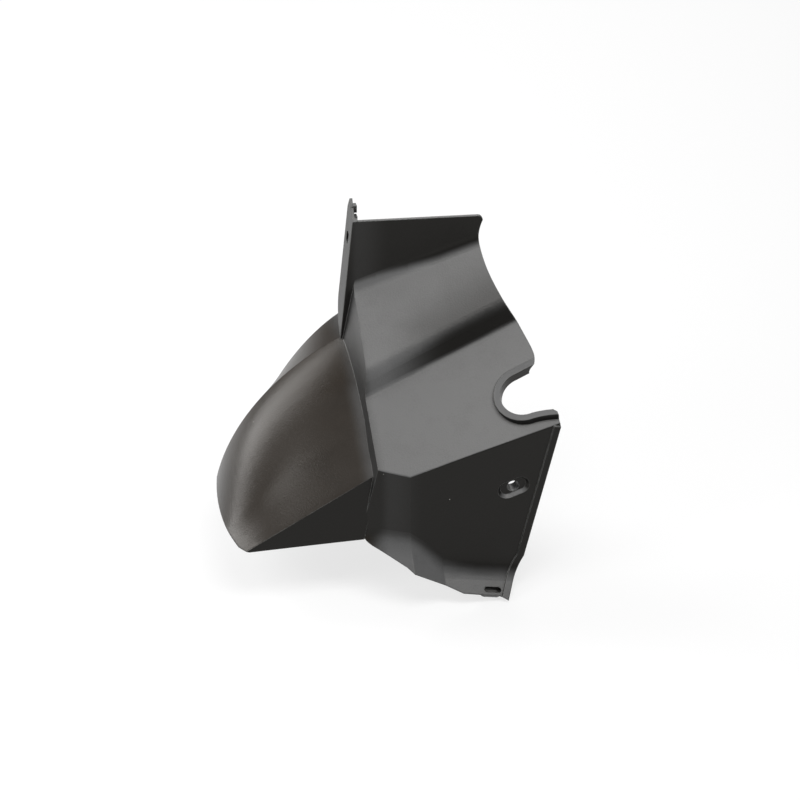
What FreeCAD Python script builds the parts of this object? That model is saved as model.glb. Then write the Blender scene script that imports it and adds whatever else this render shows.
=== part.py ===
import FreeCAD, Part
import math
import os

# Rear mudguard, moulded in one piece as a plastic shell. Sizes in millimetres.
# X runs forward along the wheel's plane, Y runs across it, away from the outer side, and Z is up.
# While the shell is built, y = 0 is its upper wall, z = 0 that wall's top edge, and x = 0 is the section
# that has the terraces' rear sizes, just ahead of the flange. The shell is then moved so that the seat of
# the recessed bolt hole is the origin.

V = FreeCAD.Vector
INWARD = FreeCAD.Rotation(V(1, 0, 0), -90)

DIMENSIONS = (
    ("wall", 2.5),
    ("overrun", 60.0),
    # Terraced side body: the depth and drop of each terrace, at its rear end and at its front end.
    ("body_length", 150.0),
    ("upper_wall_drop_rear", 67.0),
    ("upper_wall_drop_front", 22.0),
    ("upper_shelf_depth_rear", 59.0),
    ("upper_shelf_depth_front", 42.0),
    ("upper_shelf_drop_rear", 48.0),
    ("upper_shelf_drop_front", 39.5),
    ("riser_depth", 6.0),
    ("riser_drop", 18.5),
    ("lower_shelf_depth_rear", 66.0),
    ("lower_shelf_depth_front", 83.0),
    ("lower_shelf_drop_rear", 49.0),
    ("lower_shelf_drop_front", 62.0),
    ("corner_fold_x", 18.0),
    ("corner_fold_slope", 0.5),
    ("corner_fold_drop", 248.0),
    ("flare_settle_x", 46.0),
    ("flare_fold_drop_rear", 263.0),
    ("flare_fold_drop_front", 295.0),
    ("flare_reach", 26.0),
    ("upper_wall_radius", 15.0),
    ("roll_radius", 25.0),
    ("riser_foot_radius", 8.0),
    ("crease_radius", 1.5),
    ("flare_radius", 30.0),
    # Front outline of the body: where it ends at each terrace.
    ("upper_wall_end", 111.5),
    ("upper_wall_waist", 107.8),
    ("upper_shelf_end", 111.5),
    ("roll_end", 122.5),
    ("riser_foot_end", 129.0),
    ("notch_neck_end", 136.0),
    ("notch_corner_end", 138.2),
    ("notch_curl_end", 135.5),
    ("notch_edge_end", 133.0),
    ("lip_end", 147.5),
    ("crease_end", 149.0),
    ("side_wall_end", 117.0),
    ("flare_end", 99.0),
    ("top_edge_fall", 10.0),
    ("top_corner_radius", 5.0),
    # Lower outline of the body: how far the flare reaches below its fold.
    ("flare_corner_x", -16.5),
    ("flare_corner_lip", 1.0),
    ("flare_rear_x", -13.0),
    ("flare_lip_rear", 3.4),
    ("flare_bend_x", 12.6),
    ("flare_lip_bend", 14.8),
    ("flare_lip_settle", 13.2),
    ("flare_middle_x", 60.7),
    ("flare_lip_middle", 17.8),
    ("flare_front_x", 92.0),
    ("flare_lip_front", 18.4),
    ("foot_drop", 20.0),
    # Leaning end faces: the step wall towards the tyre guard, and the mounting flange.
    ("step_offset", 11.0),
    ("step_lean", 0.185),
    ("step_turn", 0.12),
    ("flange_offset", -2.2),
    ("flange_lean", 0.091),
    ("flange_turn", 0.05),
    ("flange_width", 17.1),
    ("flange_rise", 15.0),
    ("flange_straight", 84.0),
    ("flange_tip", 119.0),
    ("flange_slot_y", 9.0),
    ("flange_slot_drop", 21.0),
    ("flange_slot_width", 6.0),
    ("flange_slot_length", 12.5),
    # Tyre guard, turned about the wheel's axle.
    ("axle_x", 101.0),
    ("axle_drop", 349.0),
    ("crown_radius", 257.0),
    ("crown_fall", 15.5),
    ("crown_y", 3.0),
    ("far_radius", 252.0),
    ("far_fall", 46.0),
    ("guard_bulge", 8.0),
    ("flank_round_rear", 1.35),
    ("flank_round_end", 2.2),
    ("guard_near", 112.0),
    ("guard_far", 41.0),
    ("guard_flare", 6.0),
    ("guard_run_on", 0.5),
    ("shoulder_rear_x", -12.8),
    ("shoulder_rear_drop", 187.0),
    ("shoulder_end_x", -118.0),
    ("shoulder_end_drop", 245.0),
    ("guard_start_angle", 105.0),
    ("guard_bend_angle", 116.0),
    ("guard_end_angle", 157.7),
    ("guard_bottom", 247.5),
    ("guard_corner_run", 12.6),
    ("guard_corner_span", 77.0),
    ("valley_depth", 3.0),
    ("valley_share", 0.18),
    ("valley_width", 0.09),
    # Notch in the lower shelf, and the collar round it, which is flush above and proud below.
    ("notch_x", 123.6),
    ("notch_share", 0.657),
    ("notch_radius", 20.2),
    ("notch_tilt", 15.0),
    ("notch_mouth_reach", 60.0),
    ("notch_mouth_rise", 6.3),
    ("notch_mouth_drop", 25.0),
    ("lip_width", 5.5),
    ("lip_rise_upper", 0.4),
    ("lip_rise_lower", 7.5),
    ("lip_depth", 9.5),
    # Rim along the side wall's front edge.
    ("rim_width", 6.0),
    ("rim_height", 1.5),
    # Recessed bolt hole in the side wall.
    ("bolt_x", 108.3),
    ("bolt_drop", 203.0),
    ("bolt_hole_radius", 5.25),
    ("bolt_hole_length", 11.0),
    ("recess_length", 28.0),
    ("recess_width", 17.0),
    ("recess_depth", 3.0),
    ("recess_tilt", 18.0),
    # Blind clip slot in the flare.
    ("flare_slot_x", 86.8),
    ("flare_slot_down", 20.5),
    ("flare_slot_depth", 5.0),
    ("flare_slot_length", 15.0),
    ("flare_slot_width", 5.0),
    # Gussets behind the flange's top.
    ("gusset_reach", 3.5),
    ("gusset_width", 4.5),
    ("gusset_height", 7.0),
    ("gusset_pitch", 8.0),
)

doc = FreeCAD.newDocument("rear_mudguard")
sheet = doc.addObject("Spreadsheet::Sheet", "dimensions")
for row, (alias, value) in enumerate(DIMENSIONS, start=1):
    sheet.set("A%d" % row, alias)
    sheet.set("B%d" % row, str(value))
    sheet.setAlias("B%d" % row, alias)
doc.recompute()


def size(alias):
    """Read one driving dimension."""
    return float(sheet.get(alias))


WALL = size("wall")
OVERRUN = size("overrun")


# Flat geometry


def unit(a, b):
    """Scale a flat vector to length one."""
    length = math.hypot(a, b)
    return a / length, b / length


def offset_polyline(points, distances):
    """Move each segment of an open polyline to its left by a distance of its own."""
    lines = []
    for (a, b), (c, d), distance in zip(points, points[1:], distances):
        along = unit(c - a, d - b)
        lines.append(((a - along[1] * distance, b + along[0] * distance), along))
    moved = [lines[0][0]]
    for (start, along), (other, across) in zip(lines, lines[1:]):
        gap = (other[0] - start[0], other[1] - start[1])
        cross = along[0] * across[1] - along[1] * across[0]
        share = (gap[0] * across[1] - gap[1] * across[0]) / cross
        moved.append((start[0] + along[0] * share, start[1] + along[1] * share))
    last = points[-1]
    along = lines[-1][1]
    moved.append((last[0] - along[1] * distances[-1], last[1] + along[0] * distances[-1]))
    return moved


def rounded_wire(points, radii, place):
    """Close a polygon with rounded corners. `place` turns a flat point into a point in space."""
    corners = []
    for index, here in enumerate(points):
        before = points[index - 1]
        after = points[(index + 1) % len(points)]
        back = unit(before[0] - here[0], before[1] - here[1])
        ahead = unit(after[0] - here[0], after[1] - here[1])
        half = math.acos(back[0] * ahead[0] + back[1] * ahead[1]) / 2
        middle = unit(back[0] + ahead[0], back[1] + ahead[1])
        tangent = radii[index] / math.tan(half)
        reach = radii[index] / math.sin(half) - radii[index]
        corners.append([
            place(here[0] + way[0] * distance, here[1] + way[1] * distance)
            for way, distance in ((back, tangent), (middle, reach), (ahead, tangent))
        ])
    edges = []
    for index, (first, middle, last) in enumerate(corners):
        if radii[index] > 0:
            edges.append(Part.Arc(first, middle, last).toShape())
        following = corners[(index + 1) % len(corners)][0]
        edges.append(Part.LineSegment(last, following).toShape())
    return Part.Wire(edges)


def stadium(length, width, place):
    """A flat slot outline, `length` over its round ends, along the first axis."""
    straight = (length - width) / 2
    radius = width / 2
    edges = [
        Part.LineSegment(place(-straight, -radius), place(straight, -radius)).toShape(),
        Part.Arc(place(straight, -radius), place(straight + radius, 0), place(straight, radius)).toShape(),
        Part.LineSegment(place(straight, radius), place(-straight, radius)).toShape(),
        Part.Arc(place(-straight, radius), place(-straight - radius, 0), place(-straight, -radius)).toShape(),
    ]
    return Part.Wire(edges)


def prism(wire, reach):
    """Extrude a closed wire."""
    return Part.Face(wire).extrude(reach)


def cutter(point, normal):
    """A large block with one face through a point, on the side that the normal points to."""
    span = 4 * size("axle_drop")
    block = Part.makeBox(span, span, span, V(-span / 2, -span / 2, 0))
    block.Placement = FreeCAD.Placement(point, FreeCAD.Rotation(V(0, 0, 1), normal))
    return block


# Terraced side body


def along_body(name, x):
    """A size that runs evenly from its rear value at x = 0 to its front value at the body's length."""
    rear = size(name + "_rear")
    return rear + (size(name + "_front") - rear) * x / size("body_length")


def flare_fold_drop(x):
    """Drop of the flare's fold: level behind the corner fold, then down to the front's even fall."""
    corner = size("corner_fold_x")
    settle = size("flare_settle_x")
    share = min(max((x - corner) / (settle - corner), 0.0), 1.0)
    level = size("corner_fold_drop")
    return level + (along_body("flare_fold_drop", max(x, settle)) - level) * share


def terraces(x):
    """Corners (y, z) of the outer profile at x, from the top edge down to the flare's lip."""
    depth = along_body("upper_shelf_depth", x)
    drop = along_body("upper_wall_drop", x)
    corners = [(0.0, 0.0), (0.0, -drop)]
    drop += along_body("upper_shelf_drop", x)
    corners.append((-depth, -drop))
    depth += size("riser_depth")
    drop += size("riser_drop")
    corners.append((-depth, -drop))
    shelf_depth = along_body("lower_shelf_depth", x)
    shelf_drop = along_body("lower_shelf_drop", x)
    turned = max(0.0, size("corner_fold_x") - x) * size("corner_fold_slope")
    depth += shelf_depth - turned
    drop += shelf_drop * (1 - turned / shelf_depth)
    corners.append((-depth, -drop))
    drop = flare_fold_drop(x)
    corners.append((-depth, -drop))
    corners.append((-depth - size("flare_reach"), -drop - size("flare_reach")))
    return corners


TOP, WALL_FOOT, ROLL, RISER_FOOT, CREASE, FOLD, LIP = range(7)
LEAST_RADIUS = 0.2
CREASE_MARGIN = 0.02
SIDE_SHARE = 0.9
FLANK_STEPS = 10
GUARD_STEPS = 4
GUARD_OVERRUN = 1.0
CROWN_POWER = 3
LIP_SHARE = 0.86
FRONT_OUTLINE = (
    (TOP, 0.9, "upper_wall_waist"),
    (WALL_FOOT, 0.5, "upper_shelf_end"),
    (ROLL, 0.25, "roll_end"),
    (RISER_FOOT, 0.0, "riser_foot_end"),
    (RISER_FOOT, 0.25, "notch_neck_end"),
    (RISER_FOOT, 0.366, "notch_corner_end"),
    (RISER_FOOT, 0.441, "notch_curl_end"),
    (RISER_FOOT, 0.58, "notch_edge_end"),
)
MOUTH_POWER = 1.4
MOUTH_STEPS = 5
FLANGE_SHOULDER = 0.4
FLANGE_PEAK = 0.83
FLANGE_BEND = 0.62


def on_terrace(corner, share, x):
    """Point of the outer profile at x, between one corner and the next."""
    (y, z), (y_next, z_next) = terraces(x)[corner:corner + 2]
    return V(x, y + (y_next - y) * share, z + (z_next - z) * share)


def face_x(name, y, z):
    """Where a leaning end face lies. It leans back and is turned a little."""
    return size(name + "_offset") + size(name + "_lean") * z - size(name + "_turn") * y


def face_plane(name, inward):
    """A point and the outward normal of a leaning end face, moved into the body."""
    normal = V(-1, -size(name + "_turn"), size(name + "_lean"))
    normal.normalize()
    return V(size(name + "_offset"), 0, 0) - normal * inward, normal


def section(x, inward, back, run):
    """Closed section of the body: the rounded terraces, run on at both ends, then the back."""
    flat = offset_polyline(terraces(x), [inward] * LIP)
    flat[TOP] = (flat[TOP][0], flat[TOP][1] + run)
    flat[LIP] = (flat[LIP][0] - run, flat[LIP][1] - run)

    def place(y, z):
        return V(x, y, z)

    return rounded_wire(flat + back, profile_radii(inward) + [0.0] * len(back), place)


def profile_radii(inward):
    """Radii of the profile's corners, kept parallel through the wall."""
    return [
        0.0,
        size("upper_wall_radius") + inward,
        size("roll_radius") - inward,
        size("riser_foot_radius") + inward,
        max(size("crease_radius") - inward, size("crease_radius") * LEAST_RADIUS),
        size("flare_radius") + inward,
        0.0,
    ]


def body_loft(inward, back, run):
    """Ruled loft of the body through its stations, run on at both ends, behind the step wall's face."""
    stations = [
        size("body_length") + OVERRUN,
        size("flare_settle_x"),
        size("corner_fold_x"),
        -OVERRUN,
    ]
    loft = Part.makeLoft([section(x, inward, back, run) for x in stations], True, True)
    return loft.cut(cutter(*face_plane("step", max(inward, 0.0))))


def closed_back():
    """Back of the outer section (y, z), one wall behind the upper wall's face."""
    return [(WALL, -size("axle_drop")), (WALL, OVERRUN)]


def open_back():
    """Back of the inner section, clear of the shell."""
    return [(OVERRUN, -size("axle_drop") - OVERRUN), (OVERRUN, OVERRUN)]


def flange_outside():
    """The mounting flange and the upper wall that runs on to it, as one block up to the step wall."""
    width = size("flange_width")
    rise = size("flange_rise")
    straight = size("flange_straight")
    tip = size("flange_tip")

    def place(y, z):
        return V(face_x("flange", y, z), y, z)

    outline = [
        place(width, -straight),
        place(width, rise * FLANGE_SHOULDER),
        place(width * FLANGE_PEAK, rise),
        place(0, 0),
        place(0, -tip),
    ]
    edges = [Part.makeLine(a, b) for a, b in zip(outline, outline[1:])]
    bend = place(width * FLANGE_BEND, -straight - (tip - straight) * FLANGE_BEND)
    edges.append(Part.Arc(outline[-1], bend, outline[0]).toShape())
    block = prism(Part.Wire(edges), V(OVERRUN, 0, 0))
    return block.cut(cutter(*reversed_face("step", WALL))).common(body_outline())


def reversed_face(name, inward):
    """The face's plane, looked at from inside the body."""
    point, normal = face_plane(name, inward)
    return point, normal * -1


def flange_inside():
    """The space behind the flange and the upper wall's run-on."""
    low = -(size("flange_straight") + size("flange_tip")) / 2
    block = Part.makeBox(3 * OVERRUN, OVERRUN, OVERRUN - low, V(-OVERRUN, WALL, low))
    block = block.cut(cutter(*face_plane("flange", WALL)))
    return block.cut(cutter(*reversed_face("step", 2 * WALL)))


def body_outline():
    """Side outline of the body as a prism through its whole width."""
    side = -size("axle_drop")

    def place(x, z):
        return V(x, side, z)

    def at(corner, share, name):
        x = size(name)
        return place(x, on_terrace(corner, share, x).z)

    def lip(x, drop):
        return place(x, on_terrace(FOLD, 0, x).z - drop)

    fall = size("top_edge_fall")
    radius = size("top_corner_radius")
    top_x = size("upper_wall_end")
    rear = -size("axle_x")
    top = [
        place(rear, OVERRUN),
        place(WALL, OVERRUN),
        place(WALL, 0),
        place(top_x - radius, -fall),
    ]
    edges = [Part.makeLine(a, b) for a, b in zip(top, top[1:])]
    bend = radius * (1 - math.sqrt(0.5))
    start = place(top_x, -fall - radius)
    edges.append(Part.Arc(top[-1], place(top_x - bend, -fall - bend), start).toShape())
    front = [start] + [at(corner, share, name) for corner, share, name in FRONT_OUTLINE]
    curve = Part.BSplineCurve()
    curve.interpolate(front)
    edges.append(curve.toShape())
    lower = [
        front[-1],
        at(RISER_FOOT, LIP_SHARE, "lip_end"),
        at(CREASE, CREASE_MARGIN, "crease_end"),
        at(CREASE, SIDE_SHARE, "side_wall_end"),
        lip(size("flare_end"), size("foot_drop")),
        lip(size("flare_front_x"), size("flare_lip_front")),
        lip(size("flare_middle_x"), size("flare_lip_middle")),
        lip(size("flare_settle_x"), size("flare_lip_settle")),
        lip(size("flare_bend_x"), size("flare_lip_bend")),
        lip(size("flare_rear_x"), size("flare_lip_rear")),
        lip(size("flare_corner_x"), size("flare_corner_lip")),
        lip(2 * size("flare_corner_x") - size("flare_rear_x"), -size("flare_lip_rear")),
    ]
    lower += [place(rear, lower[-1].z), top[0]]
    edges += [Part.makeLine(a, b) for a, b in zip(lower, lower[1:])]
    return prism(Part.Wire(edges), V(0, -2 * side, 0))


# Tyre guard


def shoulder_radius(angle):
    """Radius at which the shoulder's straight crease crosses a plane through the axle."""
    turn = math.radians(angle)
    x = size("shoulder_rear_x") - size("axle_x")
    z = size("axle_drop") - size("shoulder_rear_drop")
    along_x = size("shoulder_end_x") - size("shoulder_rear_x")
    along_z = size("shoulder_rear_drop") - size("shoulder_end_drop")
    cross = math.cos(turn) * along_z - math.sin(turn) * along_x
    return (x * along_z - z * along_x) / cross


def guard_wire(angle, inward):
    """Section of the guard in one plane through the axle: side wall, flank, crown and far side."""
    turn = math.radians(angle)
    bend = size("guard_bend_angle")
    late = max(0.0, angle - bend) / (size("guard_end_angle") - bend)
    near = inward - size("guard_near")
    far = size("guard_far") - inward
    crown_y = size("crown_y")
    shoulder = shoulder_radius(angle)
    crown = size("crown_radius") - size("crown_fall") * late ** CROWN_POWER
    base = size("guard_near")
    rounding = size("flank_round_rear") + (size("flank_round_end") - size("flank_round_rear")) * late

    def place(y, radius):
        return V(size("axle_x") + radius * math.cos(turn), y, radius * math.sin(turn) - size("axle_drop"))

    def flank(share):
        rise = 1 - (1 - share) ** rounding
        bulge = size("guard_bulge") * late * 4 * share * (1 - share)
        dip = math.exp(-((share - size("valley_share")) / size("valley_width")) ** 2)
        valley = size("valley_depth") * (1 - late) * dip
        radius = shoulder + (crown - shoulder) * rise + bulge - valley - inward
        return place(near + (crown_y - near) * share, radius)

    curve = Part.BSplineCurve()
    curve.interpolate([flank(step / FLANK_STEPS) for step in range(FLANK_STEPS + 1)])
    crown_point = flank(1.0)
    shoulder_point = flank(0.0)
    far_point = place(far, size("far_radius") - size("far_fall") * late - inward)
    near_base = place(near - size("guard_flare"), base)
    far_base = place(far, base)
    edges = [
        Part.makeLine(near_base, shoulder_point),
        curve.toShape(),
        Part.makeLine(crown_point, far_point),
        Part.makeLine(far_point, far_base),
        Part.makeLine(far_base, near_base),
    ]
    return Part.Wire(edges)


def guard_loft(inward):
    """Smooth loft of the guard, run on a little past its free end."""
    start = size("guard_start_angle")
    end = size("guard_end_angle") + GUARD_OVERRUN
    angles = [start + (end - start) * step / GUARD_STEPS for step in range(GUARD_STEPS + 1)]
    return Part.makeLoft([guard_wire(angle, inward) for angle in angles], True, False)


def guard_end():
    """What lies past the guard's free end, whose edge is rounded back to its near corner."""
    turn = math.radians(size("guard_end_angle"))
    axle = V(size("axle_x"), 0, -size("axle_drop"))
    outward = V(math.cos(turn), 0, math.sin(turn))
    onward = V(-math.sin(turn), 0, math.cos(turn))
    near = -size("guard_near") - size("guard_flare")
    span = size("guard_corner_span")

    def place(y, run):
        return axle + V(0, y, 0) + onward * run

    def edge(share):
        return place(near + span * (1 - share), -size("guard_corner_run") * share ** 2)

    curve = Part.BSplineCurve()
    curve.interpolate([edge(2 * step / FLANK_STEPS) for step in range(FLANK_STEPS + 1)])
    points = [
        edge(2.0),
        place(near - span, OVERRUN),
        place(size("guard_far") + OVERRUN, OVERRUN),
        place(size("guard_far") + OVERRUN, 0),
        edge(0.0),
    ]
    edges = [curve.toShape()] + [Part.makeLine(a, b) for a, b in zip(points, points[1:])]
    return prism(Part.Wire(edges), outward * 2 * size("axle_drop"))


def guard_outside():
    """The guard's outer solid, trimmed at the step wall, the bottom edge and the free end."""
    solid = guard_loft(0.0).cut(cutter(*reversed_face("step", WALL)))
    solid = solid.cut(cutter(V(0, 0, -size("guard_bottom")), V(0, 0, -1)))
    return solid.cut(guard_end())


def guard_inside():
    """The guard's inner solid, run through the step wall into the body."""
    return guard_loft(WALL).cut(cutter(*reversed_face("step", 3 * WALL)))


def guard_tongue():
    """The guard's wall run on past the step wall, behind the flange."""
    bottom = size("guard_bottom")
    block = Part.makeBox(size("guard_run_on") + OVERRUN, OVERRUN, bottom, V(-OVERRUN, WALL, -bottom))
    return guard_loft(0.0).cut(guard_loft(WALL)).common(block)


# Details


def shelf_frame():
    """Point on the lower shelf at the notch's centre, with its axes along, down and out."""
    x = size("notch_x")
    share = size("notch_share")
    centre = on_terrace(RISER_FOOT, share, x)
    along = on_terrace(RISER_FOOT, share, x + 1) - centre
    along.normalize()
    down = on_terrace(RISER_FOOT, 1, x) - on_terrace(RISER_FOOT, 0, x)
    out = down.cross(along)
    out.normalize()
    return centre, along, along.cross(out), out


def notch_solid(offset):
    """The notch, or its lip's outer form when offset, run through the shelf along its tilted axis."""
    centre, along, down, out = shelf_frame()
    turn = math.radians(size("notch_tilt"))
    axis = out * math.cos(turn) - down * math.sin(turn)
    radius = size("notch_radius") + offset
    reach = size("notch_mouth_reach")
    start = centre - axis * (OVERRUN / 2)

    def place(a, b):
        return start + along * a + down * b

    def mouth(share):
        return place(reach * share, radius + size("notch_mouth_drop") * share ** MOUTH_POWER)

    far_corner = place(reach, -radius - size("notch_mouth_rise"))
    upper = Part.makeLine(far_corner, place(0, -radius))
    bottom = Part.Arc(place(0, -radius), place(-radius, 0), mouth(0)).toShape()
    lower = Part.BSplineCurve()
    lower.interpolate([mouth(step / MOUTH_STEPS) for step in range(MOUTH_STEPS + 1)])
    close = Part.makeLine(mouth(1), far_corner)
    return prism(Part.Wire([upper, bottom, lower.toShape(), close]), axis * OVERRUN)


def notch_lip():
    """Collar round the notch, between two parallel planes that tilt against the shelf."""
    centre, along, down, out = shelf_frame()
    spread = size("notch_radius") + size("lip_width")
    upper = centre - down * spread + out * size("lip_rise_upper")
    lower = centre + down * spread + out * size("lip_rise_lower")
    normal = (lower - upper).cross(along)
    normal.normalize()
    collar = notch_solid(size("lip_width")).common(body_outline())
    collar = collar.cut(cutter(upper, normal))
    return collar.cut(cutter(upper - normal * size("lip_depth"), normal * -1))


def rim_strip():
    """Strip along the side wall's front edge, raised above the wall and the flare."""
    edge = [
        (size("crease_end"), on_terrace(CREASE, CREASE_MARGIN, size("crease_end")).z),
        (size("side_wall_end"), on_terrace(CREASE, SIDE_SHARE, size("side_wall_end")).z),
        (size("flare_end"), on_terrace(FOLD, 0, size("flare_end")).z - size("foot_drop")),
    ]
    back = offset_polyline(edge, [-size("rim_width")] * 2)
    side = -size("axle_drop")
    points = [V(x, side, z) for x, z in edge + back[::-1] + edge[:1]]
    strip = prism(Part.makePolygon(points), V(0, -side - OVERRUN, 0))
    return body_loft(-size("rim_height"), closed_back(), 0.0).common(strip)


def bolt_point(depth):
    """Centre of the bolt hole, a depth behind the side wall's outer face."""
    x = size("bolt_x")
    return V(x, on_terrace(CREASE, 0, x).y + depth, -size("bolt_drop"))


def recess_wire(grow, depth):
    """Tilted oblong round the bolt hole."""
    turn = math.radians(size("recess_tilt"))
    centre = bolt_point(depth)

    def place(a, b):
        return centre + V(a * math.cos(turn) - b * math.sin(turn), 0, a * math.sin(turn) + b * math.cos(turn))

    return stadium(size("recess_length") + 2 * grow, size("recess_width") + 2 * grow, place)


def flare_slot(grow, high, low):
    """Slot in the flare, square to it, between two levels above the flare's face."""
    x = size("flare_slot_x")
    fold = on_terrace(FOLD, 0, x)
    down = on_terrace(FOLD, 1, x) - fold
    down.normalize()
    along = on_terrace(FOLD, 0, x + 1) - fold
    along.normalize()
    out = down.cross(along)
    out.normalize()
    centre = fold + down * size("flare_slot_down") + out * high

    def place(a, b):
        return centre + along * a + down * b

    outline = stadium(size("flare_slot_length") + 2 * grow, size("flare_slot_width") + 2 * grow, place)
    return prism(outline, out * (low - high))


def flange_slot():
    """Upright slot through the mounting flange."""
    y = size("flange_slot_y")
    z = -size("flange_slot_drop")
    start = face_x("flange", y, z) - 2 * WALL

    def place(a, b):
        return V(start, y + b, z + a)

    return prism(stadium(size("flange_slot_length"), size("flange_slot_width"), place), V(5 * WALL, 0, 0))


def add_solid(name, shape):
    """Put a worked-out solid into the document."""
    feature = doc.addObject("Part::Feature", name)
    feature.Shape = shape
    return feature


def add_boolean(kind, name, shapes):
    """Add a boolean feature: a fuse of several shapes, or a cut of the second from the first."""
    feature = doc.addObject(kind, name)
    if kind == "Part::Cut":
        feature.Base, feature.Tool = shapes
    else:
        feature.Shapes = shapes
    return feature


outside = add_boolean("Part::MultiFuse", "outside", [
    add_solid("body_outside", body_loft(0.0, closed_back(), 0.0).common(body_outline())),
    add_solid("flange_outside", flange_outside()),
    add_solid("rim_outside", rim_strip()),
    add_solid("guard_outside", guard_outside()),
])
inside = add_boolean("Part::MultiFuse", "inside", [
    add_solid("body_inside", body_loft(WALL, open_back(), OVERRUN)),
    add_solid("flange_inside", flange_inside()),
    add_solid("guard_inside", guard_inside()),
])
bare = add_boolean("Part::Cut", "bare_shell", [outside, inside])

boss = prism(recess_wire(WALL, WALL / 2), V(0, size("recess_depth") + WALL / 2, 0))
additions = [
    bare,
    add_solid("guard_tongue", guard_tongue()),
    add_solid("notch_lip", notch_lip()),
    add_solid("recess_boss", boss),
    add_solid("slot_boss", flare_slot(WALL, -WALL / 2, -size("flare_slot_depth") - WALL)),
]
collar = doc.addObject("Part::Cylinder", "bolt_collar")
collar.setExpression("Radius", "dimensions.bolt_hole_radius + dimensions.wall")
collar.setExpression("Height", "dimensions.bolt_hole_length - dimensions.wall / 2")
collar.Placement = FreeCAD.Placement(bolt_point(size("recess_depth") + WALL / 2), INWARD)
additions.append(collar)
for index in range(2):
    gusset = doc.addObject("Part::Box", "gusset")
    gusset.setExpression("Length", "dimensions.gusset_reach + dimensions.wall / 2")
    gusset.setExpression("Width", "dimensions.gusset_width")
    gusset.setExpression("Height", "dimensions.gusset_height")
    z = size("gusset_height") / 2 - index * size("gusset_pitch")
    y = size("flange_width") / 2 - index * size("gusset_width")
    gusset.Placement.Base = V(face_x("flange", y, z) + WALL / 2, y, z)
    additions.append(gusset)
solid_shell = add_boolean("Part::MultiFuse", "solid_shell", additions)

dish = Part.makeLoft([recess_wire(0.0, 0.0), recess_wire(-WALL, size("recess_depth"))], True, True)
hole = doc.addObject("Part::Cylinder", "bolt_hole")
hole.setExpression("Radius", "dimensions.bolt_hole_radius")
hole.setExpression("Height", "dimensions.overrun")
hole.Placement = FreeCAD.Placement(bolt_point(-OVERRUN / 2), INWARD)
openings = add_boolean("Part::MultiFuse", "openings", [
    add_solid("notch", notch_solid(0.0)),
    add_solid("recess", dish),
    hole,
    add_solid("flare_slot", flare_slot(0.0, OVERRUN / 4, -size("flare_slot_depth"))),
    add_solid("flange_slot", flange_slot()),
])
shell = add_boolean("Part::Cut", "shell", [solid_shell, openings])
shell.Label = "mudguard_shell"
doc.recompute()
shell.Placement = FreeCAD.Placement(bolt_point(size("recess_depth")) * -1, FreeCAD.Rotation())
doc.recompute()

for item in doc.Objects:
    if "Invalid" in item.State or "Error" in item.State:
        raise RuntimeError("%s failed" % item.Name)
if shell.Shape.isNull() or not shell.Shape.isValid() or len(shell.Shape.Solids) != 1:
    raise RuntimeError("the shell isn't one valid solid")

os.makedirs("parts", exist_ok=True)
shell.Shape.exportStep("parts/%s.step" % shell.Label)
print("volume", round(shell.Shape.Volume), "seat", bolt_point(size("recess_depth")))
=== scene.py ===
"""Looks of a motorcycle rear mudguard: one shell of grained black plastic in a pale studio."""

import logging
from dataclasses import dataclass, field
from enum import Enum
from typing import Mapping, Optional, Sequence, Union

import bmesh
import bpy
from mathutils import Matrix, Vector


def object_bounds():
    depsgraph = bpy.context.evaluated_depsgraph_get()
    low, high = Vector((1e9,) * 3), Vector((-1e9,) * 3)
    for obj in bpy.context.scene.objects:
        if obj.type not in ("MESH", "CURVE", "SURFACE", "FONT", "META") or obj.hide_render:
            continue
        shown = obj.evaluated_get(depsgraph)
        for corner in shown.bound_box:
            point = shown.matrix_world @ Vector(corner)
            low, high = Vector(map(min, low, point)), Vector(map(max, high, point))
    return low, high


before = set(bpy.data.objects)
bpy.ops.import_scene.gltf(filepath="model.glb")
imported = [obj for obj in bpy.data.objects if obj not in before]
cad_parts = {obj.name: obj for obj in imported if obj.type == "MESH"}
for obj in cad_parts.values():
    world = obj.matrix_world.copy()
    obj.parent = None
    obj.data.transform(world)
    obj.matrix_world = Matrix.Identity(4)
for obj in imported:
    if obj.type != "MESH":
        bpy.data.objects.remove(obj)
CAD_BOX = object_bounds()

LOG = logging.getLogger("mudguard")
MM = 0.001

Number = Union[int, float]
Colour = tuple[float, float, float]
Span = tuple[float, float]

WHITE: Colour = (1.0, 1.0, 1.0)


class Axis(Enum):
    """A part of a vector: X runs forward, Y across the wheel and Z up."""

    FORWARD = "X"
    ACROSS = "Y"
    UP = "Z"


class Facing(Enum):
    """Which way a studio lamp lies from the part, as a direction towards the lamp."""

    ABOVE = (0.04, -0.40, 0.91)
    RIGHT = (0.48, -0.54, 0.70)
    BEHIND = (-0.72, 0.54, 0.42)
    LEFT = (-0.83, -0.27, 0.49)
    BACK = (0.30, 0.82, 0.48)


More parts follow.
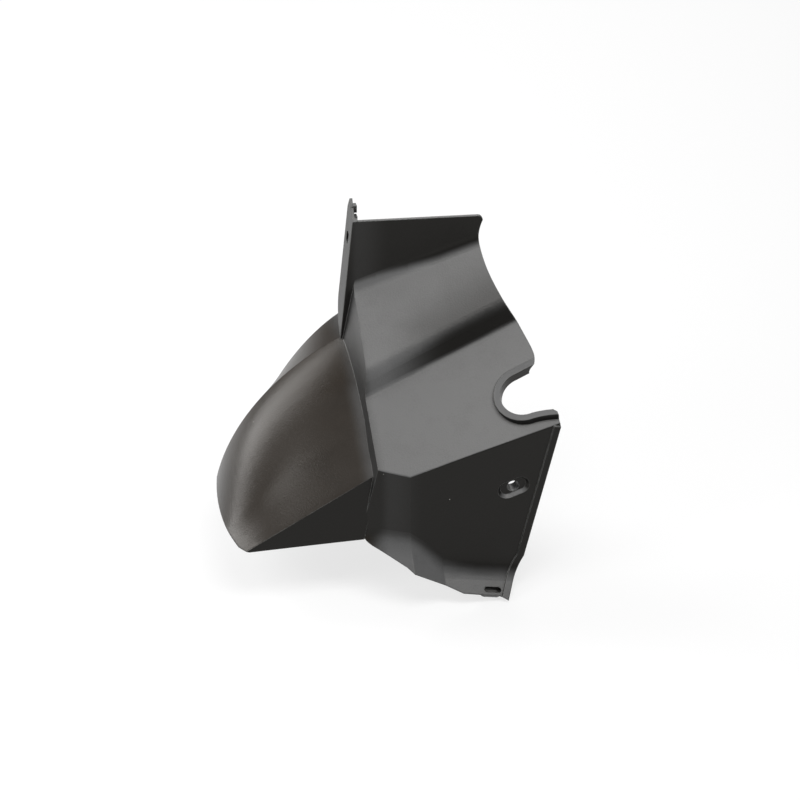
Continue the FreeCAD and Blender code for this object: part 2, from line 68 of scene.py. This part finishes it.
class Value:
    """A shader socket that takes part in sums written in Python."""

    def __init__(self, graph: "Graph", socket: bpy.types.NodeSocket) -> None:
        """Keep the socket and the graph that it belongs to."""
        self.graph = graph
        self.socket = socket

    def _math(self, operation: str, *terms: "Term") -> "Value":
        """Add one Math node.

        Args:
            operation: The Math node's operation.
            terms: Its inputs, in order.

        Returns:
            The node's result.
        """
        return self.graph.add("ShaderNodeMath", {"operation": operation}, dict(enumerate(terms)))

    def __add__(self, other: "Term") -> "Value":
        """Sum."""
        return self._math("ADD", self, other)

    __radd__ = __add__

    def __sub__(self, other: "Term") -> "Value":
        """Difference."""
        return self._math("SUBTRACT", self, other)

    def __rsub__(self, other: "Term") -> "Value":
        """Difference from a number."""
        return self._math("SUBTRACT", other, self)

    def __mul__(self, other: "Term") -> "Value":
        """Product."""
        return self._math("MULTIPLY", self, other)

    __rmul__ = __mul__

    def most(self, other: "Term") -> "Value":
        """The larger of the two."""
        return self._math("MAXIMUM", self, other)

    def ramp(self, low: float, high: float) -> "Value":
        """Smooth rise from 0 to 1.

        Args:
            low: Where it starts to rise.
            high: Where it reaches 1. It may lie below `low`, for a fall.

        Returns:
            The risen value.
        """
        settings = {"interpolation_type": "SMOOTHSTEP"}
        if low <= high:
            return self.graph.add("ShaderNodeMapRange", settings, {0: self, 1: low, 2: high})
        return 1 - self.graph.add("ShaderNodeMapRange", settings, {0: self, 1: high, 2: low})


Term = Union[Value, Number]


class Graph:
    """A material's or the world's nodes, with one method that adds them."""

    def __init__(self, tree: bpy.types.NodeTree) -> None:
        """Start from an empty tree."""
        self.tree = tree
        tree.nodes.clear()

    def add(
        self,
        kind: str,
        settings: Optional[Mapping[str, object]] = None,
        inputs: Optional[Mapping[Union[int, str], object]] = None,
        output: Union[int, str] = 0,
    ) -> Value:
        """Add a node.

        Args:
            kind: The node's type.
            settings: Its own settings, set before its sockets.
            inputs: Values or links of its sockets, by name or place.
            output: The socket that is handed back.

        Returns:
            The chosen output, or the first input of a node that has no output.
        """
        node = self.tree.nodes.new(kind)
        for name, value in (settings or {}).items():
            setattr(node, name, value)
        for key, value in (inputs or {}).items():
            socket = node.inputs[key]
            if isinstance(value, Value):
                self.tree.links.new(value.socket, socket)
            elif isinstance(value, tuple) and socket.type == "RGBA":
                socket.default_value = (*value, 1.0)
            else:
                socket.default_value = value
        return Value(self, node.outputs[output] if len(node.outputs) else node.inputs[0])

    def mix(self, factor: Term, first: object, second: object) -> Value:
        """Mix two colours.

        Args:
            factor: Share of the second colour.
            first: Colour at 0.
            second: Colour at 1.

        Returns:
            The mixed colour.
        """
        settings = {"data_type": "RGBA"}
        return self.add("ShaderNodeMix", settings, {0: factor, 6: first, 7: second}, 2)

    def noise(self, place: Value, scale: float, detail: float, rough: float) -> Value:
        """Add a noise pattern.

        Args:
            place: Coordinates.
            scale: Waves to the metre.
            detail: Octaves.
            rough: Strength of the finer octaves.

        Returns:
            The noise, from 0 to 1.
        """
        return self.add("ShaderNodeTexNoise", None, {
            "Vector": place, "Scale": scale, "Detail": detail, "Roughness": rough,
        })

    def likeness(self, first: Value, second: Value) -> Value:
        """Compare two directions.

        Args:
            first: A unit vector.
            second: Another unit vector.

        Returns:
            1 where they agree, and less where they part.
        """
        settings = {"operation": "DOT_PRODUCT"}
        return self.add("ShaderNodeVectorMath", settings, {0: first, 1: second}, "Value")

    def part(self, vector: Value, axis: Axis) -> Value:
        """One part of a vector."""
        return self.add("ShaderNodeSeparateXYZ", None, {0: vector}, axis.value)


@dataclass(frozen=True)
class Surface:
    """What the finish reads at each point of the moulding."""

    place: Value
    normal: Value
    rounded: Value
    mottle: Value
    grain: Value
    body: Value


@dataclass(frozen=True)
class GrainedPlastic:
    """Black moulded plastic with a fine grain, dust and painted light and shade, with edges
    rubbed lighter.

    The open shelves carry dust and a painted overhead sheen, faces turned to the rear carry
    painted light, faces turned across to +Y carry a painted fill light, creases and the upper
    shelf's roll carry painted shade, and the guard carries a painted warm reflection. The
    lighter edges are partly wear and partly a painted edge highlight.

    Lengths are in metres. A span gives where a mask starts and where it is full.
    """

    name: str = "grained_plastic"
    deep: Colour = (0.0045, 0.0042, 0.0036)
    # Painted warm reflection: a brownish tint on the up-facing faces of the guard.
    warm_reflection: Colour = (0.0180, 0.0130, 0.0088)
    # Painted fill light: a lighter tone on faces turned across to +Y, away from the front lamps.
    back_fill: Colour = (0.044, 0.044, 0.042)
    # Dust and a painted overhead sheen: a lighter tone on the open shelves and on faces turned
    # to the rear.
    dust_and_sheen: Colour = (0.122, 0.1225, 0.123)
    # Edges rubbed lighter: partly wear, partly a painted edge highlight.
    worn_and_lit_edge: Colour = (0.18, 0.18, 0.174)
    speck: Colour = (0.50, 0.50, 0.47)
    tint: Colour = (1.0, 0.975, 0.935)
    specular: float = 0.24
    roughness: float = 0.34
    roughness_spread: float = 0.07

    grain_scale: float = 720.0
    grain_detail: float = 2.0
    grain_rough: float = 0.55
    grain_depth: float = 0.00022
    grain_strength: float = 0.6
    mottle_scale: float = 38.0
    mottle_detail: float = 4.0
    mottle_rough: float = 0.6

    guard_x: float = -0.118
    guard_blend: float = 0.012
    guard_share: float = 0.07
    guard_gloss: float = 0.03
    # Where the painted warm reflection starts on up-facing guard faces.
    warm_reflection_up: Span = (0.10, 0.50)
    # Where the painted fill light starts on faces turned across to +Y.
    back_fill_across: Span = (0.45, 0.80)
    patch_least: float = 0.60
    patch_mottle: float = 0.80

    # Painted overhead sheen on up-facing faces, made uneven by dust, mottle and grain.
    sheen_up: Span = (0.28, 0.80)
    dust_and_sheen_least: float = 0.68
    dust_and_sheen_mottle: float = 0.44
    dust_and_sheen_grain: float = 0.20
    # Painted light on faces turned to the rear and on the body's rear end next to the guard.
    rear_facing: Span = (-0.70, -0.95)
    rear_share: float = 0.18
    rear_end: Span = (-0.030, -0.105)
    rear_lift: float = 0.40
    # Painted shade along the upper shelf's roll into the riser.
    riser_slope: float = 0.357
    riser_height: float = 0.108
    riser_start: float = -0.108
    roll_widening: float = 0.10
    roll_rise: Span = (0.010, 0.046)
    foot_fall: Span = (0.006, -0.004)
    roll_least: float = 0.34

    # Painted shade in creases, from ambient occlusion.
    crease_shade_reach: float = 0.005
    crease_shade_samples: int = 8
    crease_shade_open: Span = (0.35, 0.95)
    edge_radius: float = 0.0014
    edge_samples: int = 6
    # Lighter edges, partly wear and partly a painted edge highlight.
    edge_bend: Span = (0.985, 0.80)
    edge_wear_and_light: float = 0.80
    edge_patches: Span = (0.22, 0.55)
    speck_scale: float = 90.0
    speck_size: float = 0.045
    speck_core: float = 0.6
    speck_chance: Span = (0.90, 0.94)

    def material(self) -> bpy.types.Material:
        """Build the material.

        Returns:
            The finish, ready for the moulding's slot.
        """
        made = bpy.data.materials.new(self.name)
        made.use_nodes = True
        graph = Graph(made.node_tree)
        at = self.surface(graph)
        uneven = (at.mottle + at.grain - 1.0) * self.roughness_spread
        bump = graph.add("ShaderNodeBump", None, {
            "Strength": self.grain_strength,
            "Distance": self.grain_depth,
            "Height": at.grain,
            "Normal": at.rounded,
        })
        shader = graph.add("ShaderNodeBsdfPrincipled", None, {
            "Base Color": self.colour(graph, at),
            "Roughness": self.roughness + uneven - (1 - at.body) * self.guard_gloss,
            "Specular IOR Level": self.specular,
            "Specular Tint": self.tint,
            "Normal": bump,
        })
        graph.add("ShaderNodeOutputMaterial", None, {"Surface": shader})
        return made

    def surface(self, graph: Graph) -> Surface:
        """Read the place, the normals and the patterns.

        Args:
            graph: The material's nodes.

        Returns:
            The readings. Their `body` is 0 on the tyre guard and 1 on the side body.
        """
        place = graph.add("ShaderNodeTexCoord", output="Object")
        bevel = {"samples": self.edge_samples}
        low, high = self.guard_x - self.guard_blend, self.guard_x + self.guard_blend
        return Surface(
            place=place,
            normal=graph.add("ShaderNodeNewGeometry", output="Normal"),
            rounded=graph.add("ShaderNodeBevel", bevel, {"Radius": self.edge_radius}),
            mottle=graph.noise(place, self.mottle_scale, self.mottle_detail, self.mottle_rough),
            grain=graph.noise(place, self.grain_scale, self.grain_detail, self.grain_rough),
            body=graph.part(place, Axis.FORWARD).ramp(low, high),
        )

    def colour(self, graph: Graph, at: Surface) -> Value:
        """Lay the tones over each other, from the bare plastic through the painted warm
        reflection, the painted fill light, the dust with its painted sheen and the lighter edges
        to the dust specks.

        Args:
            graph: The material's nodes.
            at: The surface's readings.

        Returns:
            The base colour.
        """
        patches = self.patch_least + at.mottle * self.patch_mottle
        # Painted warm reflection on the guard's up-facing faces, uneven in patches.
        reflection_tinted = (1 - at.body) * graph.part(at.normal, Axis.UP).ramp(*self.warm_reflection_up) * patches
        # Painted fill light on faces turned across to +Y, uneven in patches.
        back_filled = graph.part(at.normal, Axis.ACROSS).ramp(*self.back_fill_across) * patches
        # Edges lighter in patches: partly wear, partly a painted edge highlight.
        bend = graph.likeness(at.normal, at.rounded).ramp(*self.edge_bend)
        rubbed_and_lit = bend * self.edge_wear_and_light * at.mottle.ramp(*self.edge_patches)
        colour = graph.mix(reflection_tinted, self.deep, self.warm_reflection)
        colour = graph.mix(back_filled, colour, self.back_fill)
        # Dust with a painted overhead sheen, painted rear light and painted shade in creases and
        # along the roll.
        colour = graph.mix(self.dust_and_sheen_mask(graph, at), colour, self.dust_and_sheen)
        colour = graph.mix(rubbed_and_lit, colour, self.worn_and_lit_edge)
        return graph.mix(self.specks(graph, at.place), colour, self.speck)

    def dust_and_sheen_mask(self, graph: Graph, at: Surface) -> Value:
        """Find where dust and a painted overhead sheen lighten the plastic, with painted light
        on faces turned to the rear and painted shade that keeps the creases and the upper
        shelf's roll dark.

        Args:
            graph: The material's nodes.
            at: The surface's readings.

        Returns:
            About 1 on the open shelves and 0 on upright walls.
        """
        along = graph.part(at.place, Axis.FORWARD)
        # Painted light on the body's rear end next to the guard, where the flange and step face
        # the rear.
        rearmost = along.ramp(*self.rear_end) * at.body
        upward = graph.part(at.normal, Axis.UP) + rearmost * self.rear_lift
        # Less of the painted sheen on the guard than on the side body.
        sheen_share = self.guard_share + at.body * (1 - self.guard_share)
        # Painted shade along the upper shelf's roll: the sheen is kept low there.
        open_shelf = self.off_roll(graph, at.place).most(rearmost)
        kept = self.roll_least + open_shelf * (1 - self.roll_least)
        # Painted overhead sheen on up-facing faces.
        sheen_from_above = upward.ramp(*self.sheen_up) * sheen_share * kept
        # Painted light on faces turned to the rear.
        rear_light = graph.part(at.normal, Axis.FORWARD).ramp(*self.rear_facing) * self.rear_share
        # Painted shade in creases: ambient occlusion keeps the lighter tone out of them.
        unshaded = graph.add(
            "ShaderNodeAmbientOcclusion",
            {"samples": self.crease_shade_samples},
            {"Distance": self.crease_shade_reach},
            "AO",
        )
        uneven = self.dust_and_sheen_least + at.mottle * self.dust_and_sheen_mottle + at.grain * self.dust_and_sheen_grain
        return sheen_from_above.most(rear_light) * unshaded.ramp(*self.crease_shade_open) * uneven

    def off_roll(self, graph: Graph, place: Value) -> Value:
        """Mask the upper shelf's roll into the riser, a band that widens towards the front, to
        paint shade along the roll.

        Args:
            graph: The material's nodes.
            place: Coordinates.

        Returns:
            0 on the roll and the riser, 1 on the open shelves above and below.
        """
        along = graph.part(place, Axis.FORWARD)
        rise = graph.part(place, Axis.UP) - along * self.riser_slope - self.riser_height
        above = rise - (along - self.riser_start) * self.roll_widening
        return above.ramp(*self.roll_rise).most(rise.ramp(*self.foot_fall))

    def specks(self, graph: Graph, place: Value) -> Value:
        """Scatter a few specks of dust.

        Args:
            graph: The material's nodes.
            place: Coordinates.

        Returns:
            1 on a speck and 0 elsewhere.
        """
        settings = {"feature": "F1"}
        inputs = {"Vector": place, "Scale": self.speck_scale}
        distance = graph.add("ShaderNodeTexVoronoi", settings, inputs, "Distance")
        cell = graph.add("ShaderNodeTexVoronoi", settings, inputs, "Color")
        chance = graph.add("ShaderNodeSeparateColor", None, {0: cell}, "Red")
        dot = distance.ramp(self.speck_size, self.speck_size * self.speck_core)
        return dot * chance.ramp(*self.speck_chance)


@dataclass
class Shell:
    """The mudguard's single moulding, shown as its CAD node."""

    node: str = "mudguard_shell"
    finish: GrainedPlastic = field(default_factory=GrainedPlastic)

    def dress(self) -> bpy.types.Object:
        """Put the finish on the moulding.

        Returns:
            The moulding's object.
        """
        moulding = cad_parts[self.node]
        moulding.data.materials.clear()
        moulding.data.materials.append(self.finish.material())
        return moulding


@dataclass(frozen=True)
class Lamp:
    """A soft rectangular studio lamp that points at the part, in metres and watts."""

    name: str
    facing: Facing
    distance: float
    width: float
    length: float
    power: float

    def light(self, target: Vector) -> bpy.types.Object:
        """Hang the lamp.

        Args:
            target: The point that it shines at.

        Returns:
            The lamp's object.
        """
        data = bpy.data.lights.new(self.name, "AREA")
        data.shape = "RECTANGLE"
        data.size = self.width
        data.size_y = self.length
        data.energy = self.power
        lamp = bpy.data.objects.new(self.name, data)
        direction = Vector(self.facing.value).normalized()
        lamp.location = target + direction * self.distance
        lamp.rotation_euler = direction.to_track_quat("Z", "Y").to_euler()
        bpy.context.scene.collection.objects.link(lamp)
        return lamp


@dataclass
class Studio:
    """Pale floor that shows white, soft lamps and the camera at the photograph's angle."""

    target: Vector = field(default_factory=lambda: Vector((-84.2, 62.4, 59.7)) * MM)
    view: Vector = field(default_factory=lambda: Vector((0.1843, 0.7982, -0.5736)))
    frame_width: float = 0.680
    camera_distance: float = 16.0
    camera_reach: float = 48.0
    sensor_width: float = 36.0
    floor_size: float = 12.0
    floor_gap: float = 0.5 * MM
    floor_colour: Colour = (0.28, 0.28, 0.28)
    backdrop_glow: float = 0.69
    ambient: float = 0.26
    lamps: Sequence[Lamp] = (
        Lamp("overhead_lamp", Facing.ABOVE, 1.15, 0.84, 0.42, 7.5),
        Lamp("right_lamp", Facing.RIGHT, 1.20, 0.40, 0.40, 2.8),
        Lamp("rear_lamp", Facing.BEHIND, 1.30, 0.44, 1.20, 14.5),
        Lamp("left_lamp", Facing.LEFT, 1.20, 0.46, 0.46, 3.8),
        Lamp("back_lamp", Facing.BACK, 1.30, 0.60, 0.60, 3.5),
    )

    def camera(self) -> bpy.types.Object:
        """Set up the camera, with a long lens far away for an almost parallel view.

        Returns:
            The camera's object.
        """
        data = bpy.data.cameras.new("camera")
        data.sensor_width = self.sensor_width
        data.lens = self.sensor_width * self.camera_distance / self.frame_width
        data.clip_end = self.camera_reach
        camera = bpy.data.objects.new("camera", data)
        camera.location = self.target - self.view * self.camera_distance
        camera.rotation_euler = (-self.view).to_track_quat("Z", "Y").to_euler()
        bpy.context.scene.collection.objects.link(camera)
        bpy.context.scene.camera = camera
        return camera

    def shown(self, graph: Graph) -> Value:
        """Tell rays that show the floor, straight or in a gloss, from rays that carry its light.

        Args:
            graph: The floor's nodes.

        Returns:
            1 for rays that show it and 0 for the others.
        """
        seen, glossy, through = (
            graph.add("ShaderNodeLightPath", output=name)
            for name in ("Is Camera Ray", "Is Glossy Ray", "Is Transmission Ray")
        )
        return (seen + glossy + through).ramp(0.0, 1.0)

    def floor(self) -> bpy.types.Object:
        """Lay the floor just under the part's lowest point.

        Returns:
            The floor's object.
        """
        mesh = bpy.data.meshes.new("floor")
        shape = bmesh.new()
        bmesh.ops.create_grid(shape, x_segments=1, y_segments=1, size=self.floor_size / 2)
        level = CAD_BOX[0].z - self.floor_gap
        bmesh.ops.translate(shape, verts=shape.verts, vec=(0.0, 0.0, level))
        shape.to_mesh(mesh)
        shape.free()
        floor = bpy.data.objects.new("floor", mesh)
        bpy.context.scene.collection.objects.link(floor)
        mesh.materials.append(self.floor_finish())
        return floor

    def floor_finish(self) -> bpy.types.Material:
        """Make the floor's matte finish, which glows white to the eye and keeps the shadow.

        Returns:
            The floor's material.
        """
        made = bpy.data.materials.new("pale_floor")
        made.use_nodes = True
        graph = Graph(made.node_tree)
        matte = graph.add("ShaderNodeBsdfDiffuse", None, {"Color": self.floor_colour})
        glow = graph.add("ShaderNodeEmission", None, {
            "Color": WHITE, "Strength": self.shown(graph) * self.backdrop_glow,
        })
        both = graph.add("ShaderNodeAddShader", None, {0: matte, 1: glow})
        graph.add("ShaderNodeOutputMaterial", None, {"Surface": both})
        return made

    def world(self) -> bpy.types.World:
        """Make a world that lights softly from all round.

        Returns:
            The scene's world.
        """
        world = bpy.data.worlds.new("studio")
        world.use_nodes = True
        graph = Graph(world.node_tree)
        inputs = {"Color": WHITE, "Strength": self.ambient}
        sky = graph.add("ShaderNodeBackground", None, inputs)
        graph.add("ShaderNodeOutputWorld", None, {"Surface": sky})
        bpy.context.scene.world = world
        return world

    def build(self) -> None:
        """Set up the whole studio."""
        self.camera()
        self.floor()
        self.world()
        for lamp in self.lamps:
            lamp.light(self.target)
        bpy.context.scene.view_settings.view_transform = "Standard"


def main() -> None:
    """Dress the part, build the studio round it and report each piece."""
    logging.basicConfig(level=logging.INFO, format="%(message)s")
    moulding = Shell().dress()
    LOG.info("piece %s, %d faces", moulding.name, len(moulding.data.polygons))
    Studio().build()


if __name__ == "__main__":
    main()
